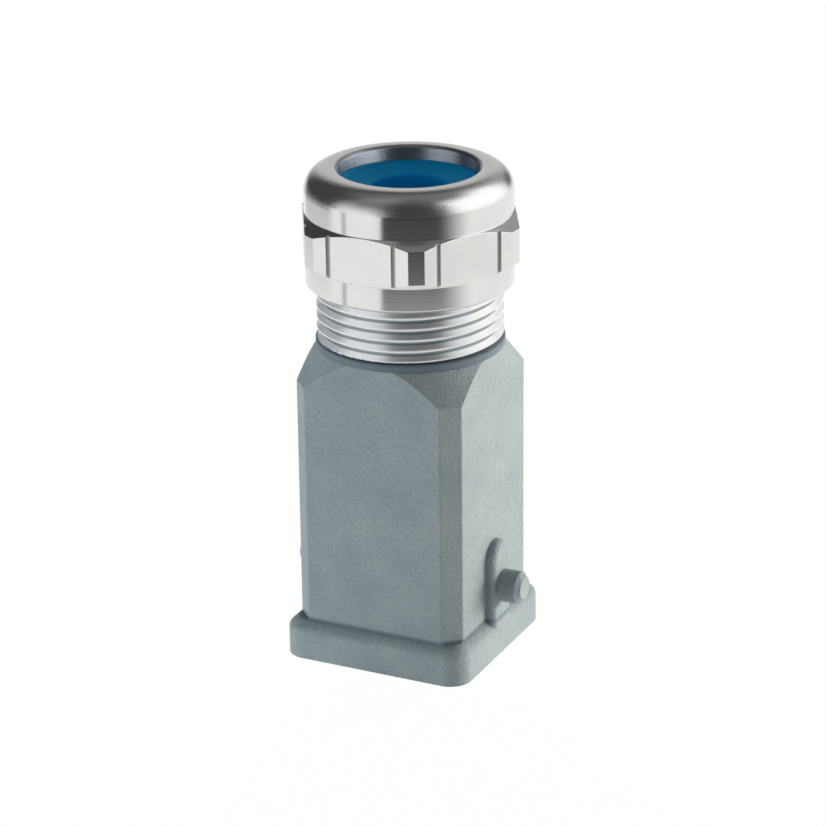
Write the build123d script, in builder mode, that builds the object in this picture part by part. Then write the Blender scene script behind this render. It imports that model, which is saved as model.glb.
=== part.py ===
"""Hood of a small square heavy-duty connector: three poles and earth, straight cable entry.

The hood stands on its mating rim. +Z runs up the cable axis, +X points at one locking peg,
and the origin is the centre of the rim. All sizes are in millimetres.
"""
from math import atan, copysign, cos, degrees, pi, radians, sin, sqrt, tan
import os

from build123d import *

os.makedirs("parts", exist_ok=True)

# Hood: square die-cast column on a rim flange
column_width = 24.3
column_corner_chamfer = 2.2
hood_wall = 1.55
cast_edge_radius = 0.45
cavity_corner_radius = 1.2
flange_step = 1.35
flange_height = 4.2
flange_slope_height = 1.2
flange_edge_radius = 1.2
flange_corner_radius = 3.0
rebate_wall = 1.7
rebate_depth = 3.0
rebate_corner_radius = 2.0

# Hood: conical shoulder, painted ring and the threaded neck above it
shoulder_height = 43.1
shoulder_half_angle = 37.0
shoulder_step = 0.1
neck_ring_step = 0.2
neck_ring_height = 1.1
neck_ring_edge_chamfer = 0.15
thread_major_radius = 12.5
thread_pitch = 1.5
thread_depth_per_pitch = 0.6134
thread_crest_per_pitch = 0.125
thread_flank_angle = 30.0
thread_plain_end = 0.5
thread_end_turn = 45.0
neck_height = 11.8
neck_wall = 1.98
seat_flare = 1.3
seat_depth = 1.9

# Hood: locking pegs on arched pads
peg_radius = 2.25
peg_length = 3.25
peg_height = 9.9
peg_end_chamfer = 0.7
pad_width = 5.5
pad_top = 16.4
pad_edge_radius = 0.9

# Hood: cross bar that carries the contact insert's screw
bar_width = 5.0
bar_height = 6.0
boss_radius = 3.75

# Cap nut: screwed on the neck by thread_engagement in the pose shown
thread_engagement = 4.2
thread_clearance = 0.1
nut_wall = 1.3
nut_collar_height = 3.4
nut_edge_chamfer = 0.3
hex_sides = 6
hex_step = 0.1
hex_corner_trim = 0.566
hex_chamfer_angle = 30.0
hex_height = 6.5
hex_turn = -0.9
nut_band_height = 2.75
nut_dome_height = 3.05
nut_rim_land = 1.45
nut_rim_chamfer = 0.3
nut_thread_length = 9.2
flat_line_offset = 4.72
flat_line_width = 0.55
flat_line_depth = 0.25
flat_line_margin = 0.33

# Sealing insert in the cap nut: an outer globe and a removable inner sleeve
globe_recess = 2.0
globe_rim_gap = 0.1
globe_seat_gap = 0.3
globe_skirt_gap = 0.4
globe_skirt_length = 4.4
globe_wall = 0.9
globe_lip = 0.9
globe_lip_height = 1.0
globe_nut_gap = 0.08
sleeve_clearance = 0.05
sleeve_hole_radius = 5.0
sleeve_rim_drop = 0.15
sleeve_dish_depth = 0.5
sleeve_edge_radius = 0.6

# Contact insert: moulded body with a cup for the pins, and a rear retainer
insert_clearance = 0.3
insert_corner_radius = 1.0
insert_recess = 3.5
cup_wall = 1.6
cup_depth = 9.5
cup_floor = 1.5
chamber_depth = 7.5
chamber_clearance = 0.15
retainer_height = 3.0
wire_hole_radius = 2.1
wire_funnel_radius = 2.9

# Contacts, set in from the insert's sides
contact_edge = 5.3
contact_clearance = 0.1
pin_radius = 1.25
pin_recess = 1.5
pin_nose = 0.75
contact_shoulder = 0.25
wire_bore_radius = 1.6
wire_bore_depth = 5.5
barrel_wall = 0.9

# Terminal screws and wire guards
screw_radius = 1.5
screw_clearance = 0.05
screw_recess = 0.15
screw_slot_width = 0.5
screw_slot_depth = 0.8
screw_height_in_barrel = 4.9
window_clearance = 0.4
guard_thickness = 0.25
guard_gap = 0.1

# Earth leaf
leaf_thickness = 0.4
leaf_width = 4.0
leaf_rise = 2.2
leaf_clearance = 0.2

# Fixing screw and its seal
fixing_screw_radius = 1.5
fixing_head_radius = 2.75
fixing_head_height = 2.0
fixing_head_chamfer = 0.4
fixing_hole_clearance = 0.2
fixing_engagement = 5.0
fixing_slot_width = 0.8
fixing_slot_depth = 1.0
seal_thickness = 0.8

# Hood levels and radii that follow from the sizes above
column_half = column_width / 2
flange_width = column_width + 2 * flange_step
flange_half = flange_width / 2
cavity_width = column_width - 2 * hood_wall
rebate_width = flange_width - 2 * rebate_wall
thread_depth = thread_depth_per_pitch * thread_pitch
thread_root_radius = thread_major_radius - thread_depth
neck_ring_radius = thread_major_radius + neck_ring_step
neck_base = shoulder_height + neck_ring_height
neck_top = neck_base + neck_height
neck_bore_radius = thread_root_radius - neck_wall
seat_mouth_radius = neck_bore_radius + seat_flare
shoulder_top_radius = neck_ring_radius - shoulder_step
shoulder_slope = 1 / tan(radians(shoulder_half_angle))
roof_drop = hood_wall / sin(radians(shoulder_half_angle))
roof_top = shoulder_height + (shoulder_top_radius - neck_bore_radius) * shoulder_slope - roof_drop

# Cap nut levels and radii
nut_bore_radius = thread_major_radius + thread_clearance
nut_collar_radius = nut_bore_radius + nut_wall
nut_rim_radius = nut_collar_radius - nut_dome_height - nut_rim_land
hex_across_flats = 2 * (nut_collar_radius + hex_step)
hex_corner_angle = 180 / hex_sides
hex_corner_radius = hex_across_flats / 2 / cos(radians(hex_corner_angle)) - hex_corner_trim
hex_chamfer_height = (hex_corner_radius - nut_collar_radius) * tan(radians(hex_chamfer_angle))
nut_bottom = neck_top - thread_engagement
hex_bottom = nut_bottom + nut_collar_height
hex_top = hex_bottom + hex_height
band_top = hex_top + nut_band_height
nut_top = band_top + nut_dome_height

# Sealing insert levels and radii
globe_radius = seat_mouth_radius - globe_seat_gap
globe_skirt_radius = neck_bore_radius - globe_skirt_gap
sleeve_radius = globe_skirt_radius - globe_wall
globe_top = nut_top - globe_recess
globe_top_radius = nut_rim_radius - globe_rim_gap
globe_centre = globe_top - sqrt(globe_radius**2 - globe_top_radius**2)
skirt_top = globe_centre - sqrt(globe_radius**2 - globe_skirt_radius**2)
skirt_bottom = skirt_top - globe_skirt_length
sleeve_bottom = skirt_bottom + globe_lip_height
sleeve_rim = globe_top - sleeve_rim_drop
nut_seat_radius = globe_radius + globe_nut_gap
nut_seat_bottom = nut_bottom + nut_thread_length
nut_seat_mouth = sqrt(nut_seat_radius**2 - (nut_seat_bottom - globe_centre) ** 2)

# Contact insert levels and places
insert_width = cavity_width - 2 * insert_clearance
cup_top = insert_recess + cup_depth
chamber_floor = cup_top + cup_floor
body_top = chamber_floor + chamber_depth
retainer_top = body_top + retainer_height
barrel_radius = wire_bore_radius + barrel_wall
chamber_radius = barrel_radius + chamber_clearance
contact_neck_radius = pin_radius + contact_shoulder
contact_half = insert_width / 2 - contact_edge
contact_places = [
    (side_x * contact_half, side_y * contact_half) for side_x in (1, -1) for side_y in (-1, 1)
]
earth_x, earth_y = contact_places[-1]
screw_level = chamber_floor + screw_height_in_barrel
fixing_hole_radius = fixing_screw_radius + fixing_hole_clearance


def axis_plane(x, y):
    """Upright plane through a vertical axis, its first direction along +X."""
    return Plane(origin=(x, y, 0), x_dir=(1, 0, 0), z_dir=(0, -1, 0))


def upright_axis(x, y):
    return Axis((x, y, 0), (0, 0, 1))


def outward_plane(x, y, reach):
    """Plane at the terminal screws' level that faces out of the insert's side, reach from the axis."""
    outward = copysign(1, x)
    origin = (x + outward * reach, y, screw_level)
    return Plane(origin=origin, x_dir=(0, outward, 0), z_dir=(outward, 0, 0))


def square_section(width, radius):
    return RectangleRounded(width, width, radius)


# Chambers inside the hood: rebate, insert pocket, wiring space and neck bore
with BuildPart() as hood_cavity:
    with BuildSketch():
        square_section(cavity_width, cavity_corner_radius)
    extrude(amount=roof_top)
    roof_reach = cavity_width
    roof_base = roof_top - (roof_reach - neck_bore_radius) * shoulder_slope
    with BuildSketch(Plane.XZ):
        with BuildLine():
            Polyline(
                (0, 0),
                (roof_reach, 0),
                (roof_reach, roof_base),
                (neck_bore_radius, roof_top),
                (0, roof_top),
                close=True,
            )
        make_face()
    revolve(axis=Axis.Z, mode=Mode.INTERSECT)
    with BuildSketch():
        square_section(rebate_width, rebate_corner_radius)
    extrude(amount=rebate_depth)
    with BuildSketch(Plane.XZ):
        with BuildLine():
            Polyline(
                (0, roof_base),
                (neck_bore_radius, roof_base),
                (neck_bore_radius, neck_top - seat_depth),
                (seat_mouth_radius, neck_top),
                (0, neck_top),
                close=True,
            )
        make_face()
    revolve(axis=Axis.Z)

# Cable gland thread: starts inside the painted ring and is chamfered off below the neck's end
with BuildPart() as neck_thread:
    thread_start = neck_base - thread_pitch / 2
    helix_angle = atan(thread_pitch / (2 * pi * thread_root_radius))
    root_overlap = thread_depth / 10
    with BuildLine():
        Helix(thread_pitch, neck_top - thread_start, thread_root_radius, center=(0, 0, thread_start))
    start_plane = Plane(
        origin=(thread_root_radius, 0, thread_start),
        x_dir=(1, 0, 0),
        z_dir=(0, cos(helix_angle), sin(helix_angle)),
    )
    crest_half = thread_crest_per_pitch * thread_pitch / 2
    root_half = crest_half + (thread_depth + root_overlap) * tan(radians(thread_flank_angle))
    with BuildSketch(start_plane):
        with BuildLine():
            Polyline(
                (-root_overlap, -root_half),
                (thread_depth, -crest_half),
                (thread_depth, crest_half),
                (-root_overlap, root_half),
                close=True,
            )
        make_face()
    sweep(is_frenet=True)
    # Chamfer at its end: a 45 degree cone that runs past the thread's root and crest
    cutter_inner = thread_root_radius - 2 * root_overlap
    cutter_outer = thread_major_radius + root_overlap
    chamfer_top = neck_top - thread_plain_end
    chamfer_bottom = chamfer_top - (cutter_outer - cutter_inner)
    with BuildSketch(Plane.XZ.rotated((0, 0, thread_end_turn))):
        with BuildLine():
            Polyline(
                (cutter_inner, chamfer_top),
                (cutter_outer, chamfer_bottom),
                (cutter_outer, neck_top + thread_pitch),
                (cutter_inner, neck_top + thread_pitch),
                close=True,
            )
        make_face()
    revolve(axis=Axis.Z, mode=Mode.SUBTRACT)

# Arched pad and locking peg of one side
with BuildPart() as peg_pad:
    pad_inner = column_half - hood_wall / 2
    pad_arch_height = pad_top - pad_width / 2
    with BuildSketch(Plane(origin=(pad_inner, 0, 0), x_dir=(0, 1, 0), z_dir=(1, 0, 0))):
        Rectangle(pad_width, pad_arch_height, align=(Align.CENTER, Align.MIN))
        with Locations((0, pad_arch_height)):
            Circle(pad_width / 2)
    extrude(amount=flange_half - pad_inner)
    pad_face = faces().sort_by(Axis.X)[-1]
    fillet(pad_face.edges().sort_by(Axis.Z)[1:], pad_edge_radius)
    with BuildSketch(Plane(origin=(flange_half, 0, peg_height), x_dir=(0, 1, 0), z_dir=(1, 0, 0))):
        Circle(peg_radius)
    extrude(amount=peg_length)
    peg_end = faces().sort_by(Axis.X)[-1]
    chamfer(peg_end.edges(), peg_end_chamfer)

# Die-cast hood with its locking pegs and gland neck
with BuildPart() as hood:
    with BuildSketch():
        Rectangle(column_width, column_width)
        chamfer(vertices(), column_corner_chamfer)
    extrude(amount=shoulder_height)
    fillet(edges().filter_by(Axis.Z), cast_edge_radius)
    cone_reach = column_width
    cone_base = shoulder_height - (cone_reach - shoulder_top_radius) * shoulder_slope
    with BuildSketch(Plane.XZ):
        with BuildLine():
            Polyline(
                (0, 0),
                (cone_reach, 0),
                (cone_reach, cone_base),
                (shoulder_top_radius, shoulder_height),
                (0, shoulder_height),
                close=True,
            )
        make_face()
    revolve(axis=Axis.Z, mode=Mode.INTERSECT)
    # Rim flange, sloped up to the column, its outer edge well rounded
    with BuildSketch():
        square_section(flange_width, flange_corner_radius)
    extrude(amount=flange_height)
    with BuildSketch(Plane.XY.offset(flange_height)):
        square_section(flange_width, flange_corner_radius)
    extrude(amount=flange_slope_height, taper=degrees(atan(flange_step / flange_slope_height)))
    fillet(edges().filter_by_position(Axis.Z, flange_height, flange_height), flange_edge_radius)
    add(peg_pad.part)
    add(peg_pad.part.rotate(Axis.Z, 180))
    # Painted ring with broken edges, and the neck core
    with BuildSketch(Plane.XZ):
        with Locations((0, shoulder_height)):
            Rectangle(neck_ring_radius, neck_ring_height, align=(Align.MIN, Align.MIN))
        chamfer(vertices().group_by(Axis.X)[-1], neck_ring_edge_chamfer)
    revolve(axis=Axis.Z)
    with BuildSketch(Plane.XY.offset(shoulder_height)):
        Circle(thread_root_radius)
    extrude(amount=neck_top - shoulder_height)
    add(neck_thread.part)
    # Hollow it, then leave the cross bar and boss standing across the wiring space
    add(hood_cavity.part, mode=Mode.SUBTRACT)
    with BuildSketch(Plane.XY.offset(retainer_top)):
        Rectangle(bar_width, cavity_width + hood_wall)
        Circle(boss_radius)
    extrude(amount=bar_height)
    with BuildSketch(Plane.XY.offset(retainer_top)):
        Circle(fixing_screw_radius + screw_clearance)
    extrude(amount=bar_height, mode=Mode.SUBTRACT)
hood.part.label = "hood"
export_step(hood.part, "parts/hood.step")

# Cap nut: turned from hexagon bar, domed over the cable opening
with BuildPart() as cap_nut:
    with BuildSketch(Plane.XZ):
        with BuildLine():
            Polyline(
                (nut_rim_radius, globe_top),
                (nut_rim_radius, nut_top - nut_rim_chamfer),
                (nut_rim_radius + nut_rim_chamfer, nut_top),
                (nut_collar_radius - nut_dome_height, nut_top),
            )
            JernArc(
                (nut_collar_radius - nut_dome_height, nut_top),
                (1, 0),
                nut_dome_height,
                -90,
            )
            Polyline(
                (nut_collar_radius, band_top),
                (nut_collar_radius, hex_top),
                (hex_corner_radius, hex_top - hex_chamfer_height),
                (hex_corner_radius, hex_bottom + hex_chamfer_height),
                (nut_collar_radius, hex_bottom),
                (nut_collar_radius, nut_bottom + nut_edge_chamfer),
                (nut_collar_radius - nut_edge_chamfer, nut_bottom),
                (nut_bore_radius + nut_edge_chamfer, nut_bottom),
                (nut_bore_radius, nut_bottom + nut_edge_chamfer),
                (nut_bore_radius, nut_seat_bottom),
                (nut_seat_mouth, nut_seat_bottom),
            )
            RadiusArc((nut_seat_mouth, nut_seat_bottom), (nut_rim_radius, globe_top), -nut_seat_radius)
        make_face()
    revolve(axis=Axis.Z)
    with BuildSketch(Plane.XY.offset(hex_bottom)):
        Circle(hex_across_flats)
        RegularPolygon(
            hex_across_flats / 2, hex_sides, major_radius=False, rotation=hex_turn, mode=Mode.SUBTRACT
        )
    extrude(amount=hex_height, mode=Mode.SUBTRACT)
    # Scribed line near each end of every flat, as the broach leaves them
    with BuildSketch(Plane.XY.offset(hex_bottom + flat_line_margin)):
        with PolarLocations(hex_across_flats / 2, hex_sides, start_angle=hex_turn + hex_corner_angle):
            with Locations((0, flat_line_offset), (0, -flat_line_offset)):
                Rectangle(2 * flat_line_depth, flat_line_width)
    extrude(amount=hex_height - 2 * flat_line_margin, mode=Mode.SUBTRACT)
cap_nut.part.label = "cap_nut"
export_step(cap_nut.part, "parts/cap_nut.step")

# Outer sealing globe: soft ring that the nut presses into the neck's seat
with BuildPart() as sealing_globe:
    with BuildSketch(Plane.XZ):
        with BuildLine():
            RadiusArc((globe_top_radius, globe_top), (globe_skirt_radius, skirt_top), globe_radius)
            Polyline(
                (globe_skirt_radius, skirt_top),
                (globe_skirt_radius, skirt_bottom),
                (sleeve_radius - globe_lip, skirt_bottom),
                (sleeve_radius - globe_lip, sleeve_bottom),
                (sleeve_radius, sleeve_bottom),
                (sleeve_radius, sleeve_rim),
                (globe_top_radius, globe_top),
            )
        make_face()
    revolve(axis=Axis.Z)
sealing_globe.part.label = "sealing_globe"
export_step(sealing_globe.part, "parts/sealing_globe.step")

# Inner sleeve: peeled out of the globe when the cable is thick
with BuildPart() as inner_sleeve:
    sleeve_outer_radius = sleeve_radius - sleeve_clearance
    with BuildSketch(Plane.XZ):
        with BuildLine():
            Polyline(
                (sleeve_hole_radius, sleeve_bottom),
                (sleeve_outer_radius, sleeve_bottom),
                (sleeve_outer_radius, sleeve_rim),
                (sleeve_hole_radius, globe_top - sleeve_dish_depth),
                close=True,
            )
        make_face()
        mouth = vertices().sort_by_distance((sleeve_hole_radius, globe_top))[0]
        fillet(mouth, sleeve_edge_radius)
    revolve(axis=Axis.Z)
inner_sleeve.part.label = "inner_sleeve"
export_step(inner_sleeve.part, "parts/inner_sleeve.step")

# Contact insert body: cup round the pins, four contact chambers and side windows for the screws
with BuildPart() as insert_body:
    with BuildSketch(Plane.XY.offset(insert_recess)):
        square_section(insert_width, insert_corner_radius)
    extrude(amount=body_top - insert_recess)
    with BuildSketch(Plane.XY.offset(insert_recess)):
        square_section(insert_width - 2 * cup_wall, insert_corner_radius)
    extrude(amount=cup_depth, mode=Mode.SUBTRACT)
    with Locations(*[(x, y, body_top) for x, y in contact_places]):
        CounterBoreHole(contact_neck_radius + contact_clearance, chamber_radius, chamber_depth)
    with Locations((0, 0, body_top)):
        Hole(fixing_hole_radius)
    # Windows through which a driver reaches the terminal screws
    for x, y in contact_places:
        with BuildSketch(outward_plane(x, y, 0)):
            Circle(screw_radius + window_clearance)
        extrude(amount=insert_width / 2, mode=Mode.SUBTRACT)
    # Slot and side recess for the earth leaf
    leaf_slot_top = chamber_floor + leaf_thickness + leaf_clearance
    leaf_slot_width = leaf_width + 2 * leaf_clearance
    with BuildSketch(Plane.XY.offset(chamber_floor)):
        with Locations((earth_x, earth_y)):
            Rectangle(insert_width / 2, leaf_slot_width, align=(Align.MAX, Align.CENTER))
    extrude(amount=leaf_thickness + leaf_clearance, mode=Mode.SUBTRACT)
    with BuildSketch(Plane.XY.offset(chamber_floor)):
        with Locations((-insert_width / 2, earth_y)):
            Rectangle(2 * leaf_thickness, leaf_slot_width)
    extrude(amount=leaf_rise + leaf_clearance, mode=Mode.SUBTRACT)
insert_body.part.label = "insert_body"
export_step(insert_body.part, "parts/insert_body.step")

# Rear retainer: keeps the contacts in their chambers and guides the wires in
with BuildPart() as insert_retainer:
    with BuildSketch(Plane.XY.offset(body_top)):
        square_section(insert_width, insert_corner_radius)
    extrude(amount=retainer_height)
    with Locations(*[(x, y, retainer_top) for x, y in contact_places]):
        CounterSinkHole(wire_hole_radius, wire_funnel_radius)
    with Locations((0, 0, retainer_top)):
        Hole(fixing_hole_radius)
insert_retainer.part.label = "insert_retainer"
export_step(insert_retainer.part, "parts/insert_retainer.step")


def turned_contact(x, y, barrel_base):
    """Pin contact turned in one piece: round-nosed pin, neck, and a barrel for the wire."""
    with BuildPart() as contact:
        with BuildSketch(axis_plane(x, y)):
            with BuildLine():
                Polyline(
                    (0, insert_recess + pin_recess),
                    (pin_radius - pin_nose, insert_recess + pin_recess),
                    (pin_radius, insert_recess + pin_recess + pin_nose),
                    (pin_radius, cup_top),
                    (contact_neck_radius, cup_top),
                    (contact_neck_radius, barrel_base),
                    (barrel_radius, barrel_base),
                    (barrel_radius, body_top),
                    (0, body_top),
                    close=True,
                )
            make_face()
        revolve(axis=upright_axis(x, y))
        with Locations((x, y, body_top)):
            Hole(wire_bore_radius, depth=wire_bore_depth)
        with BuildSketch(outward_plane(x, y, 0)):
            Circle(screw_radius + screw_clearance)
        extrude(amount=contact_edge, mode=Mode.SUBTRACT)
    return contact.part


contact_names = ["pole_pin_1", "pole_pin_2", "pole_pin_3", "earth_pin"]
for name, (x, y) in zip(contact_names, contact_places):
    is_earth = name == "earth_pin"
    contact_part = turned_contact(x, y, chamber_floor + (leaf_thickness if is_earth else 0))
    contact_part.label = name
    export_step(contact_part, f"parts/{name}.step")

# Terminal screws, and the thin guards that keep their tips off the strands
guard_reach = wire_bore_radius / 2
guard_outer = guard_reach + guard_thickness
guard_width = 2 * (sqrt(wire_bore_radius**2 - guard_outer**2) - guard_gap)
screw_tip = guard_outer + guard_gap
screw_length = contact_edge - screw_recess - screw_tip
for number, (x, y) in enumerate(contact_places, start=1):
    with BuildPart() as terminal_screw:
        with BuildSketch(outward_plane(x, y, screw_tip)):
            Circle(screw_radius)
        extrude(amount=screw_length)
        with BuildSketch(outward_plane(x, y, screw_tip + screw_length)):
            Rectangle(2 * screw_radius, screw_slot_width)
        extrude(amount=-screw_slot_depth, mode=Mode.SUBTRACT)
    terminal_screw.part.label = f"terminal_screw_{number}"
    export_step(terminal_screw.part, f"parts/terminal_screw_{number}.step")
    guard_bottom = body_top - wire_bore_depth + guard_gap
    with BuildPart() as wire_guard:
        with BuildSketch(Plane.XY.offset(guard_bottom)):
            with Locations((x + copysign(guard_reach + guard_thickness / 2, x), y)):
                Rectangle(guard_thickness, guard_width)
        extrude(amount=body_top - guard_bottom)
    wire_guard.part.label = f"wire_guard_{number}"
    export_step(wire_guard.part, f"parts/wire_guard_{number}.step")

# Earth leaf: clamped under the earth contact, its tail springs against the hood wall
with BuildPart() as earth_leaf:
    leaf_tail_x = -cavity_width / 2
    with BuildSketch(Plane.XY.offset(chamber_floor)):
        with Locations((earth_x, earth_y)):
            Circle(barrel_radius)
        with Locations(((earth_x + leaf_tail_x) / 2, earth_y)):
            Rectangle(earth_x - leaf_tail_x, leaf_width)
        with Locations((earth_x, earth_y)):
            Circle(contact_neck_radius + contact_clearance / 2, mode=Mode.SUBTRACT)
    extrude(amount=leaf_thickness)
    with BuildSketch(Plane.XY.offset(chamber_floor)):
        with Locations((leaf_tail_x + leaf_thickness / 2, earth_y)):
            Rectangle(leaf_thickness, leaf_width)
    extrude(amount=leaf_rise)
earth_leaf.part.label = "earth_leaf"
export_step(earth_leaf.part, "parts/earth_leaf.step")

# Seal washer and the long screw that holds the insert to the hood's cross bar
with BuildPart() as screw_seal:
    with BuildSketch(Plane.XY.offset(cup_top - seal_thickness)):
        Circle(fixing_head_radius)
        Circle(fixing_screw_radius + screw_clearance, mode=Mode.SUBTRACT)
    extrude(amount=seal_thickness)
screw_seal.part.label = "screw_seal"
export_step(screw_seal.part, "parts/screw_seal.step")

with BuildPart() as fixing_screw:
    head_top = cup_top - seal_thickness
    with BuildSketch(Plane.XY.offset(head_top - fixing_head_height)):
        Circle(fixing_head_radius)
    extrude(amount=fixing_head_height)
    chamfer(faces().sort_by(Axis.Z)[0].edges(), fixing_head_chamfer)
    with BuildSketch(Plane.XY.offset(head_top)):
        Circle(fixing_screw_radius)
    extrude(amount=retainer_top + fixing_engagement - head_top)
    with BuildSketch(Plane.XY.offset(head_top - fixing_head_height)):
        Rectangle(2 * fixing_head_radius, fixing_slot_width)
    extrude(amount=fixing_slot_depth, mode=Mode.SUBTRACT)
fixing_screw.part.label = "fixing_screw"
export_step(fixing_screw.part, "parts/fixing_screw.step")
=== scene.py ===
from math import ceil, cos, degrees, pi, radians, sin

import bpy
from mathutils import Matrix, Vector


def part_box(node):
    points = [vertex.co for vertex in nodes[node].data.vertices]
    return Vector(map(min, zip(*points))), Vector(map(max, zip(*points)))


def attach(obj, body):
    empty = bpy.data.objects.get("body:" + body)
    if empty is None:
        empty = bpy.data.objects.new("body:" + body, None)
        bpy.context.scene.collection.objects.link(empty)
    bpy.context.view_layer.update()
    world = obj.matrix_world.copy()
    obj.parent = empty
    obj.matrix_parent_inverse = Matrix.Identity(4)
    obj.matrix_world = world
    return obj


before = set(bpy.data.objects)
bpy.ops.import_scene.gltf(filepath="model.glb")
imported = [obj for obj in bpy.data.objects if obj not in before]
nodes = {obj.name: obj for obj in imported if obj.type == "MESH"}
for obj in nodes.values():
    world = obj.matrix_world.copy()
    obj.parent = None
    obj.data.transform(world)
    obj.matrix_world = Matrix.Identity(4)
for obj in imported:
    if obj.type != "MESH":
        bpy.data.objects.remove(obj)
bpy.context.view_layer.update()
mm = 0.001


# Hood: one zinc die casting, powder coated all over except the threaded neck, which is masked
# while it is sprayed and stays bright, its ridges worn round. The coat is a fine grey-blue sand
# texture over the uneven skin of the casting. Painted shade darkens the ring under the thread,
# the crease at the flange and the roots of the bare thread.
coat_colour = (0.245, 0.300, 0.310, 1)
coat_colour_pale = (0.325, 0.378, 0.380, 1)
coat_colour_ring_shade = (0.115, 0.158, 0.190, 1)
coat_colour_crease_shade = (0.150, 0.190, 0.200, 1)
shade_crease_height = 5.5 * mm
shade_crease_reach = 0.9 * mm
pad_inner = 13.7 * mm
bare_zinc_colour = (0.85, 0.865, 0.875, 1)
zinc_root_shade_colour = (0.28, 0.33, 0.35, 1)
coat_grain = 0.34 * mm
coat_peel = 1.1 * mm
coat_patch = 5 * mm
coat_relief = 0.14 * mm
coat_edge_radius = 0.20 * mm
overspray_grain = 0.6 * mm
overspray_rise = 0.6 * mm
thread_wear = 0.8
hood_low, hood_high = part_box("hood")
neck_length = 11.8 * mm
ring_length = 1.1 * mm
coat_limit = hood_high.z - neck_length
ring_bottom = coat_limit - ring_length
groove_reach = 11.62 * mm


class Field:
    """One socket of a material. Arithmetic on it adds Math nodes, so a pattern reads as a formula."""

    def __init__(self, tree, socket):
        self.tree = tree
        self.socket = socket

    def add(self, kind, settings=None, inputs=None, output=0):
        """A node of that kind: its settings are set first, then its sockets get values or links."""
        node = self.tree.nodes.new(kind)
        for name, value in (settings or {}).items():
            setattr(node, name, value)
        for name, value in (inputs or {}).items():
            if isinstance(value, Field):
                self.tree.links.new(value.socket, node.inputs[name])
            else:
                node.inputs[name].default_value = value
        return Field(self.tree, node.outputs[output])

    def math(self, operation, *values):
        inputs = {i: value for i, value in enumerate(values)}
        return self.add("ShaderNodeMath", {"operation": operation}, inputs)

    def __add__(self, other):
        return self.math("ADD", self, other)

    def __radd__(self, other):
        return self.math("ADD", other, self)

    def __sub__(self, other):
        return self.math("SUBTRACT", self, other)

    def __rsub__(self, other):
        return self.math("SUBTRACT", other, self)

    def __mul__(self, other):
        return self.math("MULTIPLY", self, other)

    def __rmul__(self, other):
        return self.math("MULTIPLY", other, self)

    def __pow__(self, other):
        return self.math("POWER", self, other)

    def step(self, start, end):
        """0 below start, 1 past end, with a soft climb between them."""
        settings = {"interpolation_type": "SMOOTHSTEP"}
        return self.add("ShaderNodeMapRange", settings, {"Value": self, "From Min": start, "From Max": end})

    def axis(self, name):
        return self.add("ShaderNodeSeparateXYZ", inputs={"Vector": self}, output="XYZ".index(name))

    def scaled(self, x, y, z):
        return self.add("ShaderNodeVectorMath", {"operation": "MULTIPLY"}, {0: self, 1: (x, y, z)})

    def along(self, direction):
        """How far a point given by its coordinates lies in that direction."""
        settings = {"operation": "DOT_PRODUCT"}
        return self.add("ShaderNodeVectorMath", settings, {0: self, 1: direction}, output="Value")

    def unit(self):
        """The same direction, made one long."""
        return self.add("ShaderNodeVectorMath", {"operation": "NORMALIZE"}, {0: self})

    def magnitude(self):
        """The value without its sign."""
        return self.math("ABSOLUTE", self)

    def radius(self):
        """Distance from the cable axis of a point given by its coordinates."""
        return (self.axis("X") ** 2 + self.axis("Y") ** 2) ** 0.5

    def between(self, start, end, edge):
        """1 from start to end and 0 outside, each border softened by edge to both sides."""
        return self.step(start - edge, start + edge) * (1 - self.step(end - edge, end + edge))

    def noise(self, grain, detail=2.0, roughness=0.5):
        """Smooth random values from 0 to 1 whose lumps are about grain across."""
        inputs = {"Vector": self, "Scale": 1 / grain, "Detail": detail, "Roughness": roughness}
        return self.add("ShaderNodeTexNoise", {"noise_dimensions": "3D"}, inputs)

    def blend(self, low, high):
        """The colour low where this value is 0, and high where it is 1."""
        factor, first, second, result = 0, 6, 7, 2
        inputs = {factor: self, first: low, second: high}
        return self.add("ShaderNodeMix", {"data_type": "RGBA"}, inputs, output=result)

    def bump(self, depth, normal=None):
        """A normal pushed in and out by this value, depth metres from 0 to 1."""
        inputs = {"Height": self, "Distance": depth, "Strength": 1.0}
        if normal is not None:
            inputs["Normal"] = normal
        return self.add("ShaderNodeBump", inputs=inputs)


def new_finish(name, **steady):
    """A material, its surface shader with the values that never change, and its coordinates."""
    material = bpy.data.materials.new(name)
    material.use_nodes = True
    tree = material.node_tree
    surface = tree.nodes["Principled BSDF"]
    for socket, value in steady.items():
        surface.inputs[socket.replace("_", " ")].default_value = value
    place = Field(tree, tree.nodes.new("ShaderNodeTexCoord").outputs["Object"])
    return material, surface, place


def feed(surface, **fields):
    """Links what changes over the surface to the shader's sockets."""
    for socket, field in fields.items():
        field.tree.links.new(field.socket, surface.inputs[socket.replace("_", " ")])


def finish_nodes(material, *names):
    """CAD nodes keep their mesh and get this material."""
    for name in names:
        nodes[name].data.materials.clear()
        nodes[name].data.materials.append(material)


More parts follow.
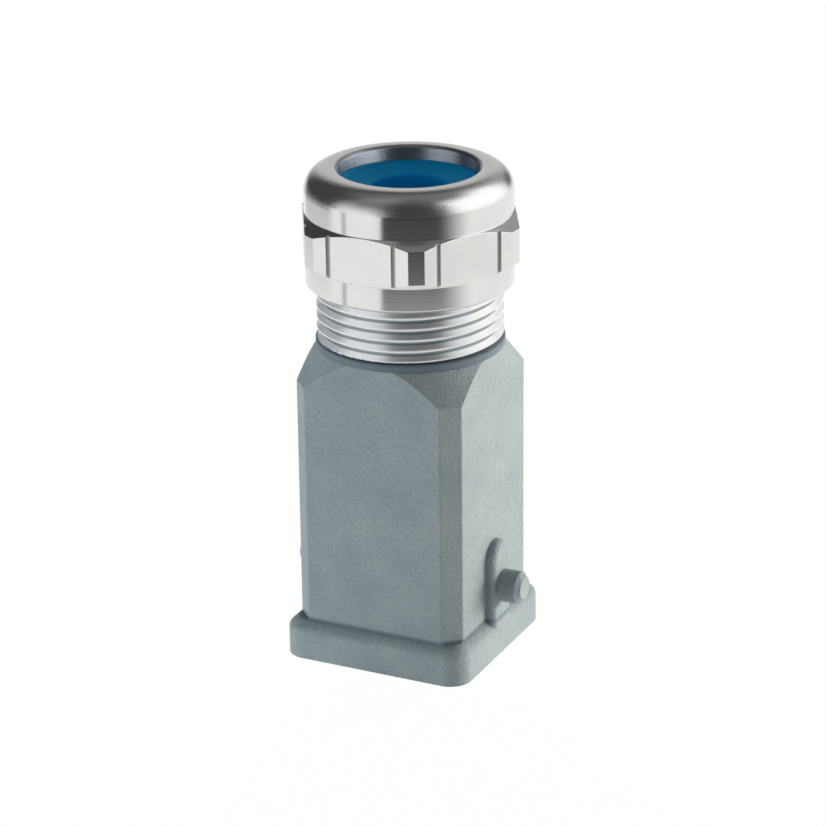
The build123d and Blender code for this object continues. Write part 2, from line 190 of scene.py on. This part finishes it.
powder_coat, surface, place = new_finish("powder_coat", IOR=1.45)
height = place.axis("Z")
reach = place.radius()
overspray = place.noise(overspray_grain, 3) * overspray_rise
bare = (height + overspray).step(coat_limit + 0.45 * mm, coat_limit + 0.70 * mm)
# Painted shade: the painted ring under the bare thread gets a darker colour that stands for the shade on it.
ring_shade = height.step(ring_bottom - 0.05 * mm, ring_bottom + 0.10 * mm) * (1 - bare)
grain = place.noise(coat_grain, 2, 0.6)
peel = place.noise(coat_peel, 2)
patches = place.noise(coat_patch, 3)
colour = (0.40 * patches + 0.60 * grain).step(0.30, 0.70).blend(coat_colour, coat_colour_pale)
# Painted shade: a darker band along the crease where the flange slope meets the column, left off the pads.
crease_shade = height.step(shade_crease_height - shade_crease_reach, shade_crease_height)
crease_shade = crease_shade * (1 - height.step(shade_crease_height, shade_crease_height + 0.4 * mm))
beside = place.axis("X").magnitude()
crease_shade = 0.95 * crease_shade * (1 - beside.step(pad_inner, pad_inner + 0.2 * mm))
colour = crease_shade.blend(colour, coat_colour_crease_shade)
colour = (0.85 * ring_shade).blend(colour, coat_colour_ring_shade)
# Painted shade: the bare thread's roots, below groove_reach, are coloured darker for the shade in them, and
# the crests keep the zinc colour.
crest = reach.step(groove_reach + 0.02 * mm, groove_reach + 0.22 * mm)
metal = crest.blend(zinc_root_shade_colour, bare_zinc_colour)
feed(
    surface,
    Base_Color=bare.blend(colour, metal),
    Metallic=0.6 * bare,
    Roughness=(1 - bare) * (0.46 + 0.14 * grain) + bare * (0.22 + 0.14 * patches),
)
edges = place.add("ShaderNodeBevel", {"samples": 8}, {"Radius": coat_edge_radius})
turned = place.scaled(0.02, 0.02, 1).noise(0.12 * mm, 1)
masked = height.step(ring_bottom, coat_limit + 0.3 * mm)
skin = (1 - masked) * (grain + 0.7 * peel) + masked * 0.10 * turned
outward = place.scaled(1, 1, 0).unit()
worn = (thread_wear * bare).blend(edges, outward).unit()
feed(surface, Normal=skin.bump(coat_relief, worn))
finish_nodes(powder_coat, "hood")

# Cap nut: turned from hexagon brass bar and nickel plated. The dome is brushed round and round
# and shines softly, the band and collar are finer, and the six flats are smooth drawn bar, each
# with the two grooves that the broach leaves near its ends, coloured dark as painted shade. The
# inner wall of the opening is coloured darker and bluish as painted shade.
nickel_colour = (0.83, 0.83, 0.80, 1)
nickel_colour_cool = (0.79, 0.80, 0.79, 1)
line_shade_colour = (0.42, 0.41, 0.39, 1)
nut_low, nut_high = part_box("cap_nut")
dome_height = 3.05 * mm
dome_bottom = nut_high.z - dome_height
lip_reach = 9.75 * mm
lip_bottom = nut_high.z - 2.2 * mm
lip_roll = 0.27
lip_shade_colour = (0.42, 0.46, 0.51, 1)
rim_start = 10.10 * mm
rim_roll = 0.55 / mm
flat_distance = 14.0 * mm
flat_turn = radians(29.1)
line_offset = 4.72 * mm
line_half = 0.25 * mm
line_depth = 0.30 * mm
hexagon_start, hexagon_end = 3.5 * mm, 9.8 * mm
brush_pitch = 0.10 * mm
brush_relief = 0.006 * mm
nut_edge_radius = 0.18 * mm
nickel, surface, place = new_finish("nickel", Metallic=1.0)
height = place.axis("Z")
reach = place.radius()
turn = place.math("ARCTAN2", place.axis("Y"), place.axis("X")) - flat_turn
side = turn.math("WRAP", turn, pi / 6, -pi / 6)
across = reach * side.math("COSINE", side)
aside = (reach * side.math("SINE", side)).magnitude()
hexagon = height.between(nut_low.z + hexagon_start, nut_low.z + hexagon_end, 0.1 * mm)
# Painted shade: the two broached grooves on each flat are coloured dark for the shade inside them.
line = aside.between(line_offset - line_half, line_offset + line_half, 0.06 * mm) * hexagon
line = line * across.step(flat_distance - line_depth, flat_distance - line_depth + 0.04 * mm)
flat = hexagon * across.between(flat_distance - 0.06 * mm, flat_distance + 0.06 * mm, 0.02 * mm)
dome = height.step(dome_bottom, dome_bottom + 0.6 * mm)
# Painted shade: the inner wall of the opening is coloured darker and bluish, standing for its shade.
lip = (1 - reach.step(lip_reach - 0.02 * mm, lip_reach)) * height.step(lip_bottom, lip_bottom + 0.02 * mm)
rim = rim_start - reach
rim = rim.math("MAXIMUM", rim, 0.0) * dome
lip_rounding = lip * (nut_high.z - height) * lip_roll - (1 - lip) * rim_roll * rim**2
round_marks = {"W": reach + 0.6 * height, "Scale": 1 / brush_pitch}
brushing = place.add("ShaderNodeTexNoise", {"noise_dimensions": "1D"}, round_marks)
brushed = place.scaled(1, 1, 6).noise(0.5 * mm, 3)
waves = place.noise(3.0 * mm, 2)
colour = waves.step(0.3, 0.7).blend(nickel_colour_cool, nickel_colour)
edges = place.add("ShaderNodeBevel", {"samples": 8}, {"Radius": nut_edge_radius})
skin = (1 - flat) * (0.12 + 0.88 * dome) * brushing + 4.0 * dome * brushed + flat * 2.0 * waves
feed(
    surface,
    Base_Color=lip.blend(line.blend(colour, line_shade_colour), lip_shade_colour),
    Roughness=0.10 + dome * (0.05 + 0.08 * brushed) + 0.05 * brushing * (1 - flat) + 0.30 * line + 0.04 * lip,
    Normal=(skin * brush_relief + lip_rounding).bump(1.0, edges),
)
finish_nodes(nickel, "cap_nut")

# Thread inside the cap nut: cut with the same 1.5 mm pitch as the neck's, right handed, so its
# ridge runs half a pitch away from the neck's crest and fades out at both ends.
thread_pitch = 1.5 * mm
neck_crest_height = 43.45 * mm
ridge_first = neck_crest_height + thread_pitch / 2
ridge_lead = 1.0 * mm
ridge_start = ridge_first + thread_pitch * ceil((nut_low.z + ridge_lead - ridge_first) / thread_pitch)
ridge_sizes = {
    "Bore radius": 12.6 * mm,
    "Pitch": thread_pitch,
    "Turns": 1.75,
    "Ridge depth": 0.62 * mm,
    "Root width": 0.92 * mm,
    "Crest width": 0.22 * mm,
}
tree = bpy.data.node_groups.new("nut_thread_ridge", "GeometryNodeTree")
tree.interface.new_socket("Geometry", in_out="OUTPUT", socket_type="NodeSocketGeometry")
for name in ridge_sizes:
    tree.interface.new_socket(name, in_out="INPUT", socket_type="NodeSocketFloat")
group_input = tree.nodes.new("NodeGroupInput")
size = {name: Field(tree, group_input.outputs[name]) for name in ridge_sizes}
helix = size["Turns"].add(
    "GeometryNodeCurveSpiral",
    inputs={
        "Resolution": 96,
        "Rotations": size["Turns"],
        "Start Radius": size["Bore radius"],
        "End Radius": size["Bore radius"],
        "Height": size["Turns"] * size["Pitch"],
        "Reverse": True,
    },
)
helix = helix.add("GeometryNodeSetCurveNormal", {"mode": "Z_UP"}, {"Curve": helix})
buried = 0.05 * mm
corners = {
    "Point 1": (buried, size["Root width"] * -0.5),
    "Point 2": (buried, size["Root width"] * 0.5),
    "Point 3": (size["Ridge depth"] * -1, size["Crest width"] * 0.5),
    "Point 4": (size["Ridge depth"] * -1, size["Crest width"] * -0.5),
}
points = {}
for name, (x, y) in corners.items():
    points[name] = helix.add("ShaderNodeCombineXYZ", inputs={"X": x, "Y": y})
outline = helix.add("GeometryNodeCurvePrimitiveQuadrilateral", {"mode": "POINTS"}, points)
run = helix.add("GeometryNodeSplineParameter")
fade = run.step(0.0, 0.12) * (1 - run.step(0.88, 1.0))
ridge = helix.add("GeometryNodeCurveToMesh", inputs={"Curve": helix, "Profile Curve": outline, "Scale": fade})
ridge = ridge.add("GeometryNodeRealizeInstances", inputs={"Geometry": ridge})
ridge = ridge.add("GeometryNodeSetMaterial", inputs={"Geometry": ridge, "Material": nickel})
tree.links.new(ridge.socket, tree.nodes.new("NodeGroupOutput").inputs["Geometry"])
nut_thread = bpy.data.objects.new("nut_thread", bpy.data.meshes.new("nut_thread"))
bpy.context.scene.collection.objects.link(nut_thread)
modifier = nut_thread.modifiers.new("thread", "NODES")
modifier.node_group = tree
for socket in tree.interface.items_tree:
    if socket.in_out == "INPUT":
        modifier[socket.identifier] = ridge_sizes[socket.name]
evaluated = nut_thread.evaluated_get(bpy.context.evaluated_depsgraph_get())
nut_thread.data = bpy.data.meshes.new_from_object(evaluated)
nut_thread.modifiers.clear()
nut_thread.data.transform(Matrix.Translation((0, 0, ridge_start)))
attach(nut_thread, "cap_nut")

# Sealing insert: two moulded rings of blue elastomer, dull, with a fine moulded skin.
seal_colour = (0.0, 0.49, 0.95, 1)
seal_colour_pale = (0.0, 0.55, 1.0, 1)
blue_seal, surface, place = new_finish("blue_seal", IOR=1.42, Specular_IOR_Level=0.1)
skin = place.noise(0.25 * mm, 3)
clouds = place.noise(4 * mm, 2)
feed(
    surface,
    Base_Color=clouds.step(0.25, 0.75).blend(seal_colour, seal_colour_pale),
    Roughness=0.42 + 0.15 * skin,
    Normal=skin.bump(0.02 * mm),
)
finish_nodes(blue_seal, "sealing_globe", "inner_sleeve")

# Contact insert: pale grey glass-filled plastic body and retainer, moulded and snapped together.
plastic_colour = (0.50, 0.49, 0.44, 1)
plastic_colour_pale = (0.60, 0.59, 0.53, 1)
insert_plastic, surface, place = new_finish("insert_plastic", IOR=1.5)
fibres = place.scaled(1, 1, 0.35).noise(0.35 * mm, 4, 0.6)
flow = place.noise(3 * mm, 2)
feed(
    surface,
    Base_Color=(0.6 * flow + 0.4 * fibres).step(0.3, 0.7).blend(plastic_colour, plastic_colour_pale),
    Roughness=0.40 + 0.2 * fibres,
    Normal=fibres.bump(0.012 * mm),
)
finish_nodes(insert_plastic, "insert_body", "insert_retainer")

# Contacts: turned copper alloy with hard silver plating, slightly tarnished in patches.
silver_colour = (0.88, 0.87, 0.83, 1)
tarnish_colour = (0.74, 0.70, 0.60, 1)
contact_silver, surface, place = new_finish("contact_silver", Metallic=1.0)
tarnish = place.noise(1.5 * mm, 4)
rings = place.scaled(0.02, 0.02, 1).noise(0.08 * mm, 2)
feed(
    surface,
    Base_Color=tarnish.step(0.35, 0.75).blend(silver_colour, tarnish_colour),
    Roughness=0.16 + 0.14 * tarnish,
    Normal=rings.bump(0.006 * mm),
)
finish_nodes(contact_silver, "pole_pin_1", "pole_pin_2", "pole_pin_3", "earth_pin")

# Screws: steel, zinc plated and passivated, which leaves a faint blue and yellow cast.
plating_blue = (0.62, 0.65, 0.68, 1)
plating_yellow = (0.70, 0.69, 0.62, 1)
zinc_steel, surface, place = new_finish("zinc_steel", Metallic=1.0)
cast = place.noise(0.9 * mm, 3)
feed(
    surface,
    Base_Color=cast.step(0.3, 0.7).blend(plating_blue, plating_yellow),
    Roughness=0.24 + 0.14 * cast,
    Normal=place.noise(0.12 * mm, 2).bump(0.006 * mm),
)
screws = [f"terminal_screw_{number}" for number in range(1, 5)]
finish_nodes(zinc_steel, "fixing_screw", *screws)

# Wire guards and earth leaf: thin spring bronze strip, rolled, with marks along the strip.
bronze_colour = (0.72, 0.47, 0.27, 1)
bronze_colour_pale = (0.80, 0.56, 0.34, 1)
spring_bronze, surface, place = new_finish("spring_bronze", Metallic=1.0)
rolled = place.scaled(1, 0.1, 0.1).noise(0.08 * mm, 2)
feed(
    surface,
    Base_Color=rolled.step(0.3, 0.7).blend(bronze_colour, bronze_colour_pale),
    Roughness=0.22 + 0.12 * rolled,
    Normal=rolled.bump(0.004 * mm),
)
guards = [f"wire_guard_{number}" for number in range(1, 5)]
finish_nodes(spring_bronze, "earth_leaf", *guards)

# Seal under the fixing screw's head: punched black rubber washer with a matt, slightly dusty face.
rubber_colour = (0.012, 0.012, 0.013, 1)
dust_colour = (0.035, 0.034, 0.033, 1)
black_rubber, surface, place = new_finish("black_rubber", IOR=1.5)
dust = place.noise(0.4 * mm, 3)
feed(
    surface,
    Base_Color=dust.step(0.4, 0.8).blend(rubber_colour, dust_colour),
    Roughness=0.60 + 0.2 * dust,
    Normal=dust.bump(0.02 * mm),
)
finish_nodes(black_rubber, "screw_seal")

# Camera: where the photograph was taken from, a little above and to the right of the plain face.
camera_azimuth = radians(26.03)
camera_elevation = radians(21.26)
camera_roll = radians(-0.69)
camera_distance = 0.44178
camera_target = Vector((0, 0, 0.033))
photo_width = 826
focal_pixels = 3274.7
shift_right = -1.48
shift_up = 1.81
towards = Vector(
    (
        sin(camera_azimuth) * cos(camera_elevation),
        -cos(camera_azimuth) * cos(camera_elevation),
        sin(camera_elevation),
    )
)
right = Vector((cos(camera_azimuth), sin(camera_azimuth), 0))
up = towards.cross(right)
tilted_right = right * cos(camera_roll) + up * sin(camera_roll)
tilted_up = up * cos(camera_roll) - right * sin(camera_roll)
camera_data = bpy.data.cameras.new("camera")
camera = bpy.data.objects.new("camera", camera_data)
bpy.context.scene.collection.objects.link(camera)
turn = Matrix((tilted_right, tilted_up, towards)).transposed().to_4x4()
camera.matrix_world = Matrix.Translation(camera_target + towards * camera_distance) @ turn
camera_data.lens = focal_pixels / photo_width * camera_data.sensor_width
camera_data.shift_x = -shift_right / photo_width
camera_data.shift_y = -shift_up / photo_width
camera_data.clip_start = 0.01
bpy.context.scene.camera = camera

# Studio: a white floor that glows softly on all but the camera's side, two low lamps, a sky that
# darkens upwards, and a shell that only reflections see. The shell holds a bright card to the
# right, a paler one to the left, a light backdrop and the dark camera side, which bare metal shows.
bpy.context.scene.view_settings.view_transform = "Standard"
floor_size = 4.0
shell_radius = 0.95
wedge_near, wedge_far = 0.09, 0.20


def bearing(angle, elevation=0):
    """Direction at that many degrees to the right of the camera, as seen from the object."""
    turn = camera_azimuth + radians(angle)
    level = cos(radians(elevation))
    return Vector((sin(turn) * level, -cos(turn) * level, sin(radians(elevation))))


def stage_mesh(name, points, faces, material):
    mesh = bpy.data.meshes.new(name)
    mesh.from_pydata(points, [], faces)
    mesh.materials.append(material)
    piece = bpy.data.objects.new(name, mesh)
    bpy.context.scene.collection.objects.link(piece)
    return piece


def direction_fields(place):
    """Degrees to the right of the camera, and degrees up, of a point of the stage."""
    level = place.math("ARCTAN2", place.along(bearing(90)), place.along(bearing(0))) * degrees(1)
    lift = place.math("ARCTAN2", place.axis("Z"), place.radius()) * degrees(1)
    return level, lift


def sides_of(level):
    """0 on the camera's side of the studio, where nothing shines, and 1 elsewhere."""
    return 1 - level.step(-50, -20) * (1 - level.step(25, 55))


floor_values = {"Base_Color": (0.9, 0.9, 0.9, 1), "Roughness": 0.9, "Specular_IOR_Level": 0.0}
floor_paint, surface, place = new_finish("studio_floor", Emission_Strength=0.5, **floor_values)
level, lift = direction_fields(place)
flat_reach = place.radius()
feed(surface, Emission_Color=sides_of(level).blend((0.25, 0.25, 0.25, 1), (1, 1, 1, 1)))
wedge = level.step(-33, -27) * (1 - level.step(28, 72)) * flat_reach.step(wedge_near, wedge_far)
gap = level.between(-76, -71, 1)
far_left = level.between(-150, -92, 6) * flat_reach.step(0.13, 0.30)
in_metal = 0.93 - 0.88 * wedge - 0.45 * gap - 0.70 * far_left
rays = floor_paint.node_tree.nodes.new("ShaderNodeLightPath")
by_metal = Field(place.tree, rays.outputs["Is Glossy Ray"])
by_camera = Field(place.tree, rays.outputs["Is Camera Ray"])
by_eye = by_camera.math("MAXIMUM", by_camera, Field(place.tree, rays.outputs["Is Transmission Ray"]))
glow = place.add("ShaderNodeEmission", inputs={"Strength": by_eye + by_metal * in_metal})
mixed = place.add("ShaderNodeMixShader", inputs={0: 0.99 * by_eye + by_metal, 2: glow})
place.tree.links.new(surface.outputs[0], mixed.socket.node.inputs[1])
place.tree.links.new(mixed.socket, place.tree.nodes["Material Output"].inputs["Surface"])
half = floor_size / 2
corners = [(-half, -half, 0), (half, -half, 0), (half, half, 0), (-half, half, 0)]
stage_mesh("floor", corners, [(0, 1, 2, 3)], floor_paint)

shell_paint, surface, place = new_finish("studio_shell")
level, lift = direction_fields(place)
behind = level.magnitude()
card_left = level.between(-84, -31, 4) * (0.12 + 0.84 * (1 - lift.step(-5, 48)))
card_right = level.between(46, 136, 10) * (1 - lift.step(46, 66)) * 1.20
corner_right = level.between(140, 158, 6) * lift.between(18, 58, 8) * 0.30
backdrop = behind.step(150, 170) * (0.58 * (1 - lift.step(16, 50)))
ceiling = lift.step(48, 72) * (0.05 + 0.07 * behind.step(30, 60))
brightness = 0.05 + card_left + card_right + corner_right + backdrop + ceiling
glow = place.add("ShaderNodeEmission", inputs={"Strength": brightness})
place.tree.links.new(glow.socket, place.tree.nodes["Material Output"].inputs["Surface"])
rows, columns = 25, 73
points = [
    bearing(360 * c / (columns - 1), 90 * r / (rows - 1)) * shell_radius
    for r in range(rows)
    for c in range(columns)
]
faces = [
    (r * columns + c, r * columns + c + 1, (r + 1) * columns + c + 1, (r + 1) * columns + c)
    for r in range(rows - 1)
    for c in range(columns - 1)
]
shell = stage_mesh("shell", points, faces, shell_paint)
shell.visible_camera = False
shell.visible_diffuse = False
shell.visible_transmission = False
shell.visible_shadow = False


def soft_lamp(name, angle, width, radiance, tint):
    """A low lamp that faces the object, as bright as a card of that radiance, unseen in metal."""
    data = bpy.data.lights.new(name, "AREA")
    data.shape = "RECTANGLE"
    data.size = width
    data.size_y = lamp_height
    data.energy = radiance * pi * width * lamp_height
    data.color = tint
    lamp = bpy.data.objects.new(name, data)
    bpy.context.scene.collection.objects.link(lamp)
    outwards = bearing(angle, lamp_elevation)
    lamp.location = outwards * lamp_distance
    lamp.rotation_euler = outwards.to_track_quat("Z", "Y").to_euler()
    lamp.visible_camera = False
    lamp.visible_glossy = False


lamp_distance, lamp_elevation, lamp_height = 0.6, 2, 0.3
warm, cool = (1.0, 0.95, 0.89), (0.93, 1.0, 1.03)
soft_lamp("lamp_right", 107, 0.6, 18.0, warm)
soft_lamp("lamp_left", -72, 0.5, 6.3, cool)

world = bpy.data.worlds.new("studio")
bpy.context.scene.world = world
world.use_nodes = True
tree = world.node_tree
rays = tree.nodes.new("ShaderNodeLightPath")
by_eye = Field(tree, rays.outputs["Is Camera Ray"])
by_eye = by_eye.math("MAXIMUM", by_eye, Field(tree, rays.outputs["Is Transmission Ray"]))
place = Field(tree, tree.nodes.new("ShaderNodeTexCoord").outputs["Generated"])
level, lift = direction_fields(place)
low_light = sides_of(level).blend((0.20, 0.202, 0.205, 1), (0.62, 0.625, 0.63, 1))
sky = lift.step(4, 36).blend(low_light, (0.140, 0.150, 0.180, 1))
tree.links.new(by_eye.blend(sky, (1, 1, 1, 1)).socket, tree.nodes["Background"].inputs["Color"])
